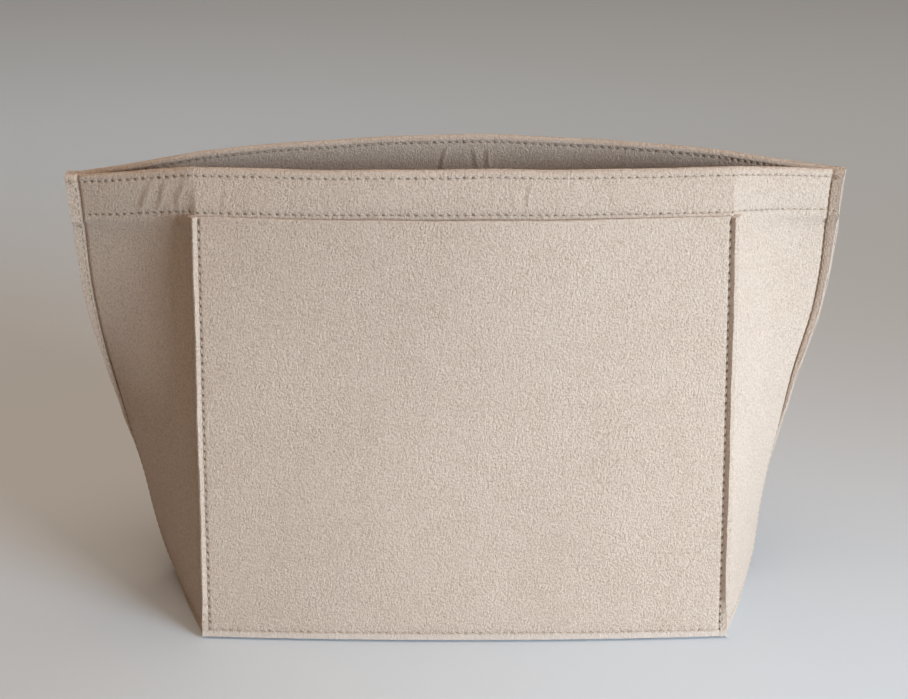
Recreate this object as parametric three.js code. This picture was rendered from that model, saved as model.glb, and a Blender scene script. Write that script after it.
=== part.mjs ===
import * as THREE from "three";

// Driving sizes in millimetres. X runs along the length, Y from front to back, Z up from the table.
const felt = 2.5; // thickness of the felt
const gap = 0.3; // clearance between neighbouring pieces
const baseLength = 275; // between the corner stitch rows
const baseDepth = 142; // front wall to back wall at the foot
const rimHeight = 246; // table to the rim
const frontMouth = 35; // front rim to the side seam plane, at the middle
const frontCorner = 26; // the same at the corner creases, where the wall has bowed in
const frontDrop = 0.6; // front rim at the corner creases, below its middle
const backMouth = 46; // back rim to the side seam plane, at the middle
const backCorner = 24; // the same at the corner creases
const backDrop = 3.1; // back rim at the corner creases, below its middle
const footReach = 152.5; // middle to the side seam at the foot
const cornerReach = 199; // middle to the side seam at the rim
const cornerDrop = 10; // rim corner below the rim middle
const seamAllowance = 4.5; // felt beyond a stitch row
const lipWidth = 4; // pocket edge beyond its corner row
const ridgeWidth = 3; // raised ridge of the tuck along each corner
const lipTurn = Math.PI / 4; // the lips and the tucks behind them turn out this far from the walls
const hemDepth = 22.5; // rim to the hem row
const hemAllowance = 4; // hem row to the cut edge of the hem
const rimRow = 4; // rim to the edge stitching
const footRow = 3.5; // table to the base row
const baseLift = 4; // table to the underside of the base
const threadRadius = 0.4;
const innerPocketHeight = 120;
const innerPocketFoot = 40; // up the wall to the lower edge of an inner pocket
const backPocketWidth = 118;
const backPocketSpace = 14;
const frontPocketWidth = 210;
const pocketRow = 3; // pocket edge to its stitch row

// Shape of the side gusset, as angles away from the Y axis in degrees
const creaseTurn = { foot: 24, rim: 75, power: 0.45 };
const seamTurn = { foot: -18, rim: 75, power: 1.75 };
const reachTurn = { rise: 1.4, fill: 2.4 }; // how the side seam swings out on its way up
const handleShare = 0.46;
const bowPower = 1.5; // the walls are straight at the foot and bow more and more towards the rim
const dropPower = 0.9;
const flatSteps = 5;
const wingSteps = 12;
const bodyRows = 9;

const cornerX = baseLength / 2;
const tuckThickness = 2 * felt;
const hemThickness = 2 * felt + gap;
const pocketTop = rimHeight - hemDepth - threadRadius - 1;
const hemEdge = rimHeight - hemDepth - hemAllowance;
const ridgeTop = pocketTop - gap;
const hemSpread = hemEdge - 2 * hemAllowance; // below this the two seam layers lie flat together
const root2 = Math.SQRT2;

const feltMaterial = new THREE.MeshStandardMaterial({ color: "#cfc2b3", roughness: 0.95, metalness: 0 });
feltMaterial.name = "needle_felt";
const threadMaterial = new THREE.MeshStandardMaterial({ color: "#b8a48e", roughness: 0.6, metalness: 0 });
threadMaterial.name = "polyester_thread";

const insert = new THREE.Group();
insert.name = "purse_organizer_insert";

function addPiece(name, geometry, material) {
  const mesh = new THREE.Mesh(geometry, material);
  mesh.name = name;
  insert.add(mesh);
}

const lerp = THREE.MathUtils.lerp;
const smooth = (value, low, high) => THREE.MathUtils.smoothstep(value, low, high);

const walls = {
  front: { facing: -1, mouth: frontMouth, corner: frontCorner, drop: frontDrop },
  back: { facing: 1, mouth: backMouth, corner: backCorner, drop: backDrop },
};
const footColumn = flatSteps;
const creaseColumn = flatSteps + 3;
const seamColumn = creaseColumn + wingSteps;
const columnCount = seamColumn + 2;

// Distance of a wall's long face from the side seam plane; share runs from the middle (0) to a corner (1)
function wallOut(wall, share, height) {
  const bow = wallBow(wall, height);
  return lerp(baseDepth / 2, wall.mouth, height / rimHeight) - bow * share * share;
}

// How far the corners of a wall have come in at one height
function wallBow(wall, height) {
  return (wall.mouth - wall.corner) * Math.pow(height / rimHeight, bowPower);
}

// One level of half a wall, from the middle outward to the tip of the side seam, as (x, q) points.
// q is the distance from the side seam plane.
function halfLevel(wall, height) {
  const v = height / rimHeight;
  const shift = tuckThickness / root2;
  const easing = smooth(height, ridgeTop - hemDepth / 2, rimHeight - rimRow);
  const foot = new THREE.Vector2(cornerX + gap * (root2 - 1), wallOut(wall, 1, height));
  const crease = new THREE.Vector2(foot.x + shift, foot.y - shift * lerp(1, 0.3, easing));
  const doubled = smooth(height, hemSpread, hemEdge);
  const swing = Math.pow(1 - Math.pow(v, reachTurn.rise), reachTurn.fill);
  const reach = lerp(cornerReach, footReach, swing);
  const seam = new THREE.Vector2(reach, gap / 2 + lerp(felt, hemThickness, doubled));
  const turned = (turn) => THREE.MathUtils.degToRad(lerp(turn.foot, turn.rim, Math.pow(v, turn.power)));
  const leave = turned(creaseTurn);
  const arrive = turned(seamTurn);
  const handle = handleShare * crease.distanceTo(seam);
  const curve = new THREE.CubicBezierCurve(
    crease,
    new THREE.Vector2(crease.x + handle * Math.sin(leave), crease.y - handle * Math.cos(leave)),
    new THREE.Vector2(seam.x - handle * Math.sin(arrive), seam.y + handle * Math.cos(arrive)),
    seam
  );
  const points = [];
  for (let i = 0; i < flatSteps; i += 1) {
    points.push(new THREE.Vector2((foot.x * i) / flatSteps, wallOut(wall, i / flatSteps, height)));
  }
  points.push(foot, foot.clone().lerp(crease, 1 / 3), foot.clone().lerp(crease, 2 / 3));
  points.push(...curve.getPoints(wingSteps));
  points.push(new THREE.Vector2(seam.x + seamAllowance, seam.y));
  return points;
}

// Inward mitre at every point of a level, so that the felt keeps its thickness round the bends
function inwardOffsets(points) {
  return points.map((point, i) => {
    if (i === 0) {
      return new THREE.Vector2(0, -1);
    }
    const before = point.clone().sub(points[i - 1]).normalize();
    const after = i === points.length - 1 ? before : points[i + 1].clone().sub(point).normalize();
    const middle = before.clone().add(after).normalize();
    const stretch = 1 / Math.max(0.5, middle.dot(before));
    return new THREE.Vector2(middle.y, -middle.x).multiplyScalar(stretch);
  });
}

// The rim comes down from the middle to the corners, and on along the gussets to the side seams
function dropped(wall, share, along, height) {
  const fall = lerp(wall.drop * share * share, cornerDrop, Math.pow(along, dropPower));
  return height * (1 - fall / rimHeight);
}

// A point of a long wall: side is -1 for left and 1 for right
function wallPoint(wall, side, column, height, depth, ridge) {
  const level = halfLevel(wall, height);
  const point = level[column].clone();
  const top = new THREE.Vector2(Math.cos(lipTurn), Math.sin(lipTurn)).multiplyScalar(ridgeWidth);
  top.add(level[footColumn]);
  if (ridge && column === footColumn + 1) {
    point.copy(top);
  }
  if (ridge && column === footColumn + 2) {
    point.copy(top).add(new THREE.Vector2(1, -1).multiplyScalar(tuckThickness / root2));
  }
  point.addScaledVector(inwardOffsets(level)[column], depth);
  const share = Math.min(column / flatSteps, 1);
  const along = THREE.MathUtils.clamp((column - creaseColumn) / wingSteps, 0, 1);
  return new THREE.Vector3(side * point.x, wall.facing * point.y, dropped(wall, share, along, height));
}

function closedGeometry(vertices, triangles) {
  let volume = 0;
  for (const [a, b, c] of triangles) {
    volume += vertices[a].dot(vertices[b].clone().cross(vertices[c]));
  }
  const index = triangles.flatMap(([a, b, c]) => (volume < 0 ? [a, c, b] : [a, b, c]));
  const geometry = new THREE.BufferGeometry();
  geometry.setFromPoints(vertices);
  geometry.setIndex(index);
  geometry.computeVertexNormals();
  return geometry;
}

// Skins equal loops one after the other; cap lists the triangles that close an end
function skinLoops(loops, cap) {
  const count = loops[0].length;
  const vertices = loops.flat();
  const triangles = [];
  for (let i = 0; i + 1 < loops.length; i += 1) {
    for (let k = 0; k < count; k += 1) {
      const a = i * count + k;
      const b = i * count + ((k + 1) % count);
      triangles.push([a, b, b + count], [a, b + count, a + count]);
    }
  }
  const last = (loops.length - 1) * count;
  for (const [a, b, c] of cap) {
    triangles.push([a, c, b], [last + a, last + b, last + c]);
  }
  return closedGeometry(vertices, triangles);
}

// Levels of the plain felt between the base row and the hem
const bodyHeights = [];
for (let i = 0; i <= bodyRows; i += 1) {
  bodyHeights.push(lerp(footRow, hemSpread, i / bodyRows));
}
bodyHeights.push(hemEdge);

// Section of a long wall: up the outside, over the fold, down the hem, back up behind it and down the inside
function wallSection() {
  const section = [];
  for (const height of [0, ...bodyHeights, ridgeTop]) {
    section.push({ height, depth: 0, ridge: true });
  }
  section.push({ height: ridgeTop + 0.3, depth: 0 });
  section.push({ height: rimHeight - hemDepth, depth: 0 });
  section.push({ height: rimHeight - rimRow, depth: 0 });
  const turns = 6;
  const half = hemThickness / 2;
  for (let i = 0; i <= turns; i += 1) {
    const angle = (Math.PI * i) / turns;
    section.push({
      height: rimHeight - half + half * Math.sin(angle),
      depth: half * (1 - Math.cos(angle)),
    });
  }
  section.push({ height: rimHeight - hemDepth, depth: hemThickness });
  section.push({ height: hemEdge, depth: hemThickness });
  section.push({ height: hemEdge, depth: felt + gap });
  section.push({ height: rimHeight - hemDepth, depth: felt + gap });
  section.push({ height: rimHeight - half, depth: felt + gap });
  section.push({ height: rimHeight - half, depth: felt });
  section.push({ height: rimHeight - hemDepth, depth: felt });
  for (const height of [0, ...bodyHeights].reverse()) {
    section.push({ height, depth: felt });
  }
  return section;
}

// The cut edge at a side seam: level by level up to the hem, then the folded hem as one outline
function seamEdgeCap(section) {
  const last = section.length - 1;
  const top = bodyHeights.length;
  const cap = [];
  for (let i = 0; i < top; i += 1) {
    cap.push([i, i + 1, last - 1 - i], [i, last - 1 - i, last - i]);
  }
  const fold = section.slice(top, last - top + 1);
  const outline = fold.map((row) => new THREE.Vector2(row.height, row.depth));
  for (const face of THREE.ShapeUtils.triangulateShape(outline, [])) {
    cap.push(face.map((k) => k + top));
  }
  return cap;
}

function longWall(wall) {
  const section = wallSection();
  const loops = [];
  const column = (side, index) =>
    section.map((row) => wallPoint(wall, side, index, row.height, row.depth, row.ridge));
  for (let i = columnCount - 1; i >= 0; i -= 1) {
    loops.push(column(-1, i));
  }
  for (let i = 1; i < columnCount; i += 1) {
    loops.push(column(1, i));
  }
  return skinLoops(loops, seamEdgeCap(section));
}

// A sewing thread row laid along a chain of points
function threadRow(points, outward) {
  const sides = 6;
  const loops = points.map((point, i) => {
    const ahead = points[Math.min(i + 1, points.length - 1)];
    const behind = points[Math.max(i - 1, 0)];
    const tangent = ahead.clone().sub(behind).normalize();
    const up = outward[i].clone().addScaledVector(tangent, -outward[i].dot(tangent)).normalize();
    const across = tangent.clone().cross(up);
    const ring = [];
    for (let k = 0; k < sides; k += 1) {
      const angle = (2 * Math.PI * (k + 0.5)) / sides;
      const spoke = up.clone().multiplyScalar(Math.cos(angle)).addScaledVector(across, Math.sin(angle));
      ring.push(point.clone().addScaledVector(spoke, threadRadius));
    }
    return ring;
  });
  const cap = [];
  for (let k = 1; k + 1 < sides; k += 1) {
    cap.push([0, k, k + 1]);
  }
  return skinLoops(loops, cap);
}

const threadStand = -(gap + threadRadius);

// Thread points on the outside of a wall, listed as [side, column, height]
function wallThread(wall, places) {
  const points = places.map(([side, column, height]) => wallPoint(wall, side, column, height, threadStand));
  const outward = places.map(([side, column, height], i) =>
    points[i].clone().sub(wallPoint(wall, side, column, height, 0))
  );
  return threadRow(points, outward);
}

function rowAcross(wall, height) {
  const places = [];
  for (let i = seamColumn; i >= 0; i -= 1) {
    places.push([-1, i, height]);
  }
  for (let i = 1; i <= seamColumn; i += 1) {
    places.push([1, i, height]);
  }
  return wallThread(wall, places);
}

function rowUpSeam(wall, side) {
  const places = bodyHeights.map((height) => [side, seamColumn, height]);
  places.push([side, seamColumn, ridgeTop]);
  return wallThread(wall, places);
}

// A point beside a wall's long face, standing off it by a distance that is negative on the inside
function besideWall(wall, x, height, stand) {
  const share = Math.min(Math.abs(x) / cornerX, 1);
  const step = Math.min(Math.floor(share * flatSteps), flatSteps - 1);
  const t = share * flatSteps - step;
  const q = lerp(wallOut(wall, step / flatSteps, height), wallOut(wall, (step + 1) / flatSteps, height), t);
  const skew = Math.hypot(1, (2 * wallBow(wall, height) * share) / cornerX);
  const low = dropped(wall, step / flatSteps, 0, height);
  const high = dropped(wall, (step + 1) / flatSteps, 0, height);
  return new THREE.Vector3(x, wall.facing * (q + stand * skew), lerp(low, high, t));
}

// Places between two limits that fall on the wall's own columns or rows, so that pockets lie along it
function placesBetween(low, high, marks) {
  return [low, ...marks.filter((mark) => mark > low + felt && mark < high - felt), high];
}

const columnPlaces = [];
for (let i = -flatSteps; i <= flatSteps; i += 1) {
  columnPlaces.push((cornerX * i) / flatSteps);
}

// Skins a sheet whose sections are listed from its foot up, each as its near face and then its far face back
function skinSheet(sections) {
  const count = sections[0].length;
  const cap = [];
  for (let k = 0; k + 1 < count / 2; k += 1) {
    cap.push([k, k + 1, count - 2 - k], [k, count - 2 - k, count - 1 - k]);
  }
  return skinLoops(sections, cap);
}

const pocketFoot = 2 * gap;

// Outer slip pocket: a panel that bows with its wall and whose side edges turn out along the corner ridges
function outerPocket(wall) {
  const mitre = felt * Math.tan(lipTurn / 2);
  const sections = placesBetween(pocketFoot, pocketTop, bodyHeights).map((height) => {
    const lip = (side, stand) => {
      const away = stand - gap;
      const x = cornerX + lipWidth * Math.cos(lipTurn) - away * Math.sin(lipTurn);
      const out = gap + lipWidth * Math.sin(lipTurn) + away * Math.cos(lipTurn);
      return besideWall(wall, side * cornerX, height, out).setX(side * x);
    };
    const face = (stand, reach) => [
      lip(-1, stand),
      ...placesBetween(-reach, reach, columnPlaces).map((x) => besideWall(wall, x, height, stand)),
      lip(1, stand),
    ];
    return [...face(gap, cornerX), ...face(gap + felt, cornerX - mitre).reverse()];
  });
  return skinSheet(sections);
}

// Thread along a chain of (x, height) points at one stand-off from a wall
function panelThread(wall, stand, chain) {
  const points = chain.map(([x, height]) => besideWall(wall, x, height, stand));
  const out = new THREE.Vector3(0, wall.facing * Math.sign(stand), 0);
  return threadRow(points, points.map(() => out));
}

const pocketStand = gap + felt + gap + threadRadius;

// Foot row: along one pocket from corner to corner
function footThread(wall) {
  const half = cornerX - felt;
  const chain = placesBetween(-half, half, columnPlaces).map((x) => [x, footRow]);
  return panelThread(wall, pocketStand, chain);
}

// Corner row: up the side of a pocket, beside its lip
function cornerThread(wall, side) {
  const x = side * (cornerX - felt / 2);
  const up = placesBetween(footRow + 4 * threadRadius, pocketTop - 1, bodyHeights);
  return panelThread(wall, pocketStand, up.map((height) => [x, height]));
}

function gussetFootThread(wall, side) {
  const places = [];
  for (let i = creaseColumn + 1; i < seamColumn; i += 1) {
    places.push([side, i, footRow]);
  }
  return wallThread(wall, places);
}

// Inner patch pocket on the inside face of a wall
function innerPocket(wall, middle, width) {
  const across = placesBetween(middle - width / 2, middle + width / 2, columnPlaces);
  const up = placesBetween(innerPocketFoot, innerPocketFoot + innerPocketHeight, bodyHeights);
  const face = (height, stand) => across.map((x) => besideWall(wall, x, height, stand));
  const sections = up.map((height) => [
    ...face(height, -felt - gap),
    ...face(height, -felt - gap - felt).reverse(),
  ]);
  return skinSheet(sections);
}

function innerPocketThread(wall, middle, width) {
  const half = width / 2 - pocketRow;
  const low = innerPocketFoot + pocketRow;
  const high = innerPocketFoot + innerPocketHeight - 1;
  const bend = 1.5;
  const up = placesBetween(low + bend, high, bodyHeights);
  const across = placesBetween(middle - half + bend, middle + half - bend, columnPlaces);
  const chain = [
    ...[...up].reverse().map((height) => [middle - half, height]),
    ...across.map((x) => [x, low]),
    ...up.map((height) => [middle + half, height]),
  ];
  return panelThread(wall, -felt - pocketStand, chain);
}

// Base: a felt sheet whose edge is turned down inside the feet of the walls
function baseSheet() {
  const ring = (height, inset) => {
    const loop = [];
    const quarter = (wall, side, order) => {
      const inner = [0, height].map((z) => {
        const level = halfLevel(wall, z);
        const offsets = inwardOffsets(level);
        return level.map((point, i) => point.clone().addScaledVector(offsets[i], felt + gap + inset));
      });
      for (const i of order) {
        const point = inner[0][i].clone().min(inner[1][i]);
        const y = i === seamColumn ? 0 : wall.facing * point.y;
        loop.push(new THREE.Vector3(side * point.x, y, height));
      }
    };
    const outward = [footColumn];
    for (let i = creaseColumn; i < seamColumn; i += 1) {
      outward.push(i);
    }
    const inward = [...outward].reverse();
    quarter(walls.front, -1, [seamColumn, ...inward]);
    quarter(walls.front, 1, [...outward, seamColumn]);
    quarter(walls.back, 1, inward);
    quarter(walls.back, -1, outward);
    return loop;
  };
  const top = baseLift + felt;
  const loops = [ring(baseLift, felt), ring(0, felt), ring(0, 0), ring(top, 0)];
  const count = loops[0].length;
  const vertices = loops.flat();
  const triangles = [];
  for (let i = 0; i + 1 < loops.length; i += 1) {
    for (let k = 0; k < count; k += 1) {
      const a = i * count + k;
      const b = i * count + ((k + 1) % count);
      triangles.push([a, b, b + count], [a, b + count, a + count]);
    }
  }
  const flat = (loop) => loop.map((point) => new THREE.Vector2(point.x, point.y));
  const last = 3 * count;
  for (const [a, b, c] of THREE.ShapeUtils.triangulateShape(flat(loops[0]), [])) {
    triangles.push([a, c, b]);
  }
  for (const [a, b, c] of THREE.ShapeUtils.triangulateShape(flat(loops[3]), [])) {
    triangles.push([last + a, last + b, last + c]);
  }
  return closedGeometry(vertices, triangles);
}

addPiece("base_panel", baseSheet(), feltMaterial);

for (const [name, wall] of Object.entries(walls)) {
  addPiece(`${name}_panel`, longWall(wall), feltMaterial);
  addPiece(`${name}_rim_stitching`, rowAcross(wall, rimHeight - rimRow), threadMaterial);
  addPiece(`${name}_hem_stitching`, rowAcross(wall, rimHeight - hemDepth), threadMaterial);
  addPiece(`${name}_slip_pocket`, outerPocket(wall), feltMaterial);
  addPiece(`${name}_base_stitching`, footThread(wall), threadMaterial);
  for (const [hand, side] of [["left", -1], ["right", 1]]) {
    addPiece(`${name}_${hand}_corner_stitching`, cornerThread(wall, side), threadMaterial);
    addPiece(`${name}_${hand}_gusset_base_stitching`, gussetFootThread(wall, side), threadMaterial);
  }
}

addPiece("left_side_seam_stitching", rowUpSeam(walls.front, -1), threadMaterial);
addPiece("right_side_seam_stitching", rowUpSeam(walls.front, 1), threadMaterial);

const backMiddle = (backPocketWidth + backPocketSpace) / 2;
addPiece("inner_back_left_pocket", innerPocket(walls.back, -backMiddle, backPocketWidth), feltMaterial);
addPiece("inner_back_right_pocket", innerPocket(walls.back, backMiddle, backPocketWidth), feltMaterial);
addPiece("inner_front_pocket", innerPocket(walls.front, 0, frontPocketWidth), feltMaterial);
addPiece(
  "inner_back_left_pocket_stitching",
  innerPocketThread(walls.back, -backMiddle, backPocketWidth),
  threadMaterial
);
addPiece(
  "inner_back_right_pocket_stitching",
  innerPocketThread(walls.back, backMiddle, backPocketWidth),
  threadMaterial
);
addPiece("inner_front_pocket_stitching", innerPocketThread(walls.front, 0, frontPocketWidth), threadMaterial);

export default insert;
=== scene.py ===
import math

import bmesh
import bpy
import numpy as np
from mathutils import Matrix, Vector


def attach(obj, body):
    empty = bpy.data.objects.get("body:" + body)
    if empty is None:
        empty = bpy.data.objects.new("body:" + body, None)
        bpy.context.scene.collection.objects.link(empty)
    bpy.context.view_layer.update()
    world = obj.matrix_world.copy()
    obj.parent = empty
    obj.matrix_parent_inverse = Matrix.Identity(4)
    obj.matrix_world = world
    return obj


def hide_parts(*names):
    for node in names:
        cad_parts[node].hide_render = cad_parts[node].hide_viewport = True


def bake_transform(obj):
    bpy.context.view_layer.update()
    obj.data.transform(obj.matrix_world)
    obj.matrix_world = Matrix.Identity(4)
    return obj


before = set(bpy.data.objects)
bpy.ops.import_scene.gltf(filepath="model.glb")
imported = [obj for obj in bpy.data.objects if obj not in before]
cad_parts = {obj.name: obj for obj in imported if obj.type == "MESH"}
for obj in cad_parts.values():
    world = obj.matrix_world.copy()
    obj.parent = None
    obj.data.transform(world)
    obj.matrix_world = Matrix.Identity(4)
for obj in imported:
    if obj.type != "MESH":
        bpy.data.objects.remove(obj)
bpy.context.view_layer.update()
print("frame loaded:", len(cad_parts), "solids")

mm = 0.001
root2 = math.sqrt(2)

# camera, worked out from the corners of the pocket and the rim
photoView = {
    "wide": 908,
    "focalPixels": 1700,
    "place": (-3.12, -869.6, 463.56),
    "aim": (-5.4, 0.0, 136.7),
    "roll": -0.1,
    "sensor": 36.0,
}


def makeCamera():
    data = bpy.data.cameras.new("photoCamera")
    data.sensor_width = photoView["sensor"]
    data.lens = photoView["sensor"] * photoView["focalPixels"] / photoView["wide"]
    camera = bpy.data.objects.new("photoCamera", data)
    bpy.context.scene.collection.objects.link(camera)
    place, aim = Vector(photoView["place"]), Vector(photoView["aim"])
    turn = (aim - place).to_track_quat("-Z", "Y").to_matrix().to_4x4()
    roll = Matrix.Rotation(math.radians(photoView["roll"]), 4, "Z")
    camera.matrix_world = Matrix.Translation(place * mm) @ turn @ roll
    bpy.context.scene.camera = camera


makeCamera()
print("camera placed")


def linearColour(hexText):
    parts = [int(hexText[i : i + 2], 16) / 255 for i in (1, 3, 5)]
    return [c / 12.92 if c <= 0.04045 else ((c + 0.055) / 1.055) ** 2.4 for c in parts] + [1.0]


def addNode(tree, kind, values=None, links=None, **settings):
    node = tree.nodes.new(kind)
    for key, value in settings.items():
        setattr(node, key, value)
    for key, value in (values or {}).items():
        node.inputs[key].default_value = value
    for key, source in (links or {}).items():
        tree.links.new(source, node.inputs[key])
    return node


def newMaterial(name):
    material = bpy.data.materials.new(name)
    material.use_nodes = True
    material.node_tree.nodes.clear()
    return material, material.node_tree


def addNoise(tree, place, size, detail, roughness=0.5):
    values = {"Scale": 1 / (size * mm), "Detail": detail, "Roughness": roughness}
    return addNode(tree, "ShaderNodeTexNoise", values, {"Vector": place}).outputs


def addMath(tree, operation, values, links, **settings):
    return addNode(tree, "ShaderNodeMath", values, links, operation=operation, **settings).outputs[0]


def addMix(tree, share, under, over):
    links = {0: share, 6: under}
    return addNode(tree, "ShaderNodeMix", {7: linearColour(over)}, links, data_type="RGBA").outputs[2]


def addSurface(tree, finish, colour, height):
    relief = {"Strength": finish["bump"], "Distance": finish["relief"] * mm}
    bump = addNode(tree, "ShaderNodeBump", relief, {"Height": height})
    values = {
        "Roughness": finish["roughness"],
        "IOR": 1.5,
        "Specular IOR Level": finish["specular"],
        "Sheen Weight": finish["sheen"],
        "Sheen Roughness": finish["sheenRoughness"],
    }
    links = {"Base Color": colour, "Normal": bump.outputs["Normal"]}
    shader = addNode(tree, "ShaderNodeBsdfPrincipled", values, links)
    addNode(tree, "ShaderNodeOutputMaterial", links={"Surface": shader.outputs["BSDF"]})


# Needle-punched polyester felt, pressed and calendered: matt, with a close grain of clumped fibres. The
# grain's colour runs on the same pile height as its bump: besides a random tone, a painted highlight on the
# loops and painted shade in the pits. Cut edges are paler and looser, and partly a painted highlight
feltFinish = {
    "fibre": "#cdb49e",
    "grainAndPaintedPitShade": "#bca28b",
    "grainAndPaintedLoopHighlight": "#dac3ae",
    # pale colour of cut edges: their looser fibres, and partly a painted highlight where an edge catches the
    # light
    "paleEdgeAndPaintedShade": "#dbc9b9",
    "paintedShade": "#6a5140",  # painted shade: the shade down a needle hole, along a seam's valley and between layers that end together
    "clump": 1.2,  # mm across a clump of fibres
    "clumpDrift": 0.7,  # how far the clumps wander, in clumps
    "strand": 0.44,  # mm across a strand, drawn coarser than the real 0.02 so that it shows
    "strandLength": 1.7,
    "strandTurns": (0.4, -0.6),  # the two ways in which the strands lie, in radians
    "strandShare": 0.6,  # how much the strands stand out against the clumps
    "cloud": 26.0,  # mm across the slow unevenness of the web
    "cloudShare": 0.12,
    "shades": (0.68, 0.84, 1.0),  # heights in the pile of the dark, fibre and pale colours: painted shade in the pits, painted highlight on the loops
    "relief": 1.65,  # mm from pit to loop
    "bump": 1.0,
    "roughness": 0.94,
    "specular": 0.2,
    "sheen": 0.12,
    "sheenRoughness": 0.6,
}


def makeFelt():
    material, tree = newMaterial("needlePunchedFelt")
    place = addNode(tree, "ShaderNodeTexCoord").outputs["Object"]
    drift = addNoise(tree, place, 3 * feltFinish["clump"], 1.0)["Color"]
    bent = addNode(
        tree,
        "ShaderNodeVectorMath",
        {1: (feltFinish["clumpDrift"] * feltFinish["clump"] * mm,) * 3},
        {0: drift, 2: place},
        operation="MULTIPLY_ADD",
    ).outputs["Vector"]
    clump = addNoise(tree, bent, feltFinish["clump"], 4.0, 0.68)["Fac"]
    drawnOut = (1.0, 1.0, feltFinish["strand"] / feltFinish["strandLength"])
    lean = []
    for angle in feltFinish["strandTurns"]:
        values = {"Rotation": (0.0, angle, 0.35), "Scale": drawnOut}
        turned = addNode(tree, "ShaderNodeMapping", values, {"Vector": bent}).outputs["Vector"]
        lean.append(addNoise(tree, turned, feltFinish["strand"], 2.0)["Fac"])
    strands = addMath(tree, "MAXIMUM", {}, {0: lean[0], 1: lean[1]})
    pile = addMath(tree, "MULTIPLY_ADD", {1: feltFinish["strandShare"]}, {0: strands, 2: clump})
    cloud = addNoise(tree, place, feltFinish["cloud"], 2.0)["Fac"]
    grain = addMath(tree, "MULTIPLY_ADD", {1: feltFinish["cloudShare"]}, {0: cloud, 2: pile})
    # the ramp follows the pile height that also drives the bump: painted shade in the pits, painted highlight
    # on the loops
    shade = addNode(tree, "ShaderNodeValToRGB", links={"Fac": grain})
    steps = shade.color_ramp.elements
    steps[0].position, middle, steps[1].position = feltFinish["shades"]
    steps[0].color = linearColour(feltFinish["grainAndPaintedPitShade"])
    steps[1].color = linearColour(feltFinish["grainAndPaintedLoopHighlight"])
    steps.new(middle).color = linearColour(feltFinish["fibre"])
    # one attribute carries both: above zero the pale cut edges, partly painted highlight; below zero painted
    # shade
    edgeAndPaintedShade = addNode(tree, "ShaderNodeAttribute", attribute_name="paleEdgeAndPaintedShade").outputs["Fac"]
    colour = addMix(tree, edgeAndPaintedShade, shade.outputs["Color"], feltFinish["paleEdgeAndPaintedShade"])
    paintedShadeShare = addMath(tree, "MULTIPLY", {1: -1.0}, {0: edgeAndPaintedShade}, use_clamp=True)
    colour = addMix(tree, paintedShadeShare, colour, feltFinish["paintedShade"])
    addSurface(tree, feltFinish, colour, pile)
    return material


# Spun polyester sewing thread, three plies twisted, with a soft gloss; its colour runs from light on the
# plies to painted shade between them, and that dark end also darkens the stitches as painted shade
threadFinish = {
    "light": "#cfbaa3",
    "paintedTwistShade": "#8c715a",
    "ply": 0.55,  # mm from ply to ply, coarser than the real 0.25 so that it shows
    "relief": 0.1,
    "bump": 0.5,
    "roughness": 0.45,
    "specular": 0.5,
    "sheen": 0.0,
    "sheenRoughness": 0.5,
}


def makeThread():
    material, tree = newMaterial("spunPolyesterThread")
    place = addNode(tree, "ShaderNodeTexCoord").outputs["Object"]
    values = {"Scale": 1 / (2 * threadFinish["ply"] * mm), "Distortion": 2.0, "Detail": 1.0}
    links = {"Vector": place}
    twist = addNode(tree, "ShaderNodeTexWave", values, links, bands_direction="DIAGONAL").outputs["Fac"]
    # painted shade between the plies, on the same twist as the bump
    shade = addNode(tree, "ShaderNodeValToRGB", links={"Fac": twist})
    shade.color_ramp.elements[0].color = linearColour(threadFinish["paintedTwistShade"])
    shade.color_ramp.elements[1].color = linearColour(threadFinish["light"])
    addSurface(tree, threadFinish, shade.outputs["Color"], twist)
    return material


feltMaterial = makeFelt()
threadMaterial = makeThread()
print("materials made")

# sizes in mm, those of the solids but for the rim's corners and the base row, which are given here
cut = {
    "felt": 2.5,
    "gap": 0.3,
    "length": 275.0,
    "depth": 142.0,
    "rim": 246.0,
    "cornerDrop": 8.2,
    "tuck": 4.0,
    "hem": 22.5,
    "hemAllowance": 4.0,
    "hemRamp": 3.2,  # below the hem's edge, where the side seam goes from two layers to four
    "pocketDrop": 1.4,  # hem row to the pocket's mouth
    "rimRow": 4.0,
    "footRow": 4.6,
    "baseLift": 4.0,
}
felt, gap = cut["felt"], cut["gap"]
cornerX = cut["length"] / 2
hemThick = 2 * felt + gap
hemRow = cut["rim"] - cut["hem"]
pocketTop = hemRow - cut["pocketDrop"]
hemEdge = hemRow - cut["hemAllowance"]
ridgeTop = pocketTop - gap
rimLine = cut["rim"] - cut["rimRow"]
hemFoot = hemEdge - cut["hemRamp"]
# mouth is the rim's distance from the side seams at the middle, corner the same at the corner creases
walls = {
    "front": {"facing": -1, "mouth": 35.0, "corner": 26.0, "drop": 0.6},
    "back": {"facing": 1, "mouth": 46.0, "corner": 24.0, "drop": 3.1},
}


def mix(a, b, t):
    return a + (b - a) * t


def smooth(value, low, high):
    t = np.clip((np.asarray(value, float) - low) / (high - low), 0, 1)
    return t * t * (3 - 2 * t)


# how the felt has settled: every piece goes through this, so that they stay together
settled = {
    "skew": 5.0,  # the left corner stands this much further out than the pattern, the right less
    "corner": 1.2,  # left corner lower, right corner higher
    "cornerRun": 45.0,  # over which the corners take this up
    "belly": 4.0,  # the foot of the walls bows out between the corners
    "bellyTop": 170.0,
    "wave": 0.9,  # slow hollows and swells of the walls
    "waveRun": (31.0, 37.0),  # along the wall and up it
    "slantRun": (19.0, 43.0),
    "rimWave": 0.32,
    "rimRun": (23.0, 9.5),
    "rimFrom": 200.0,
}


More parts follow.
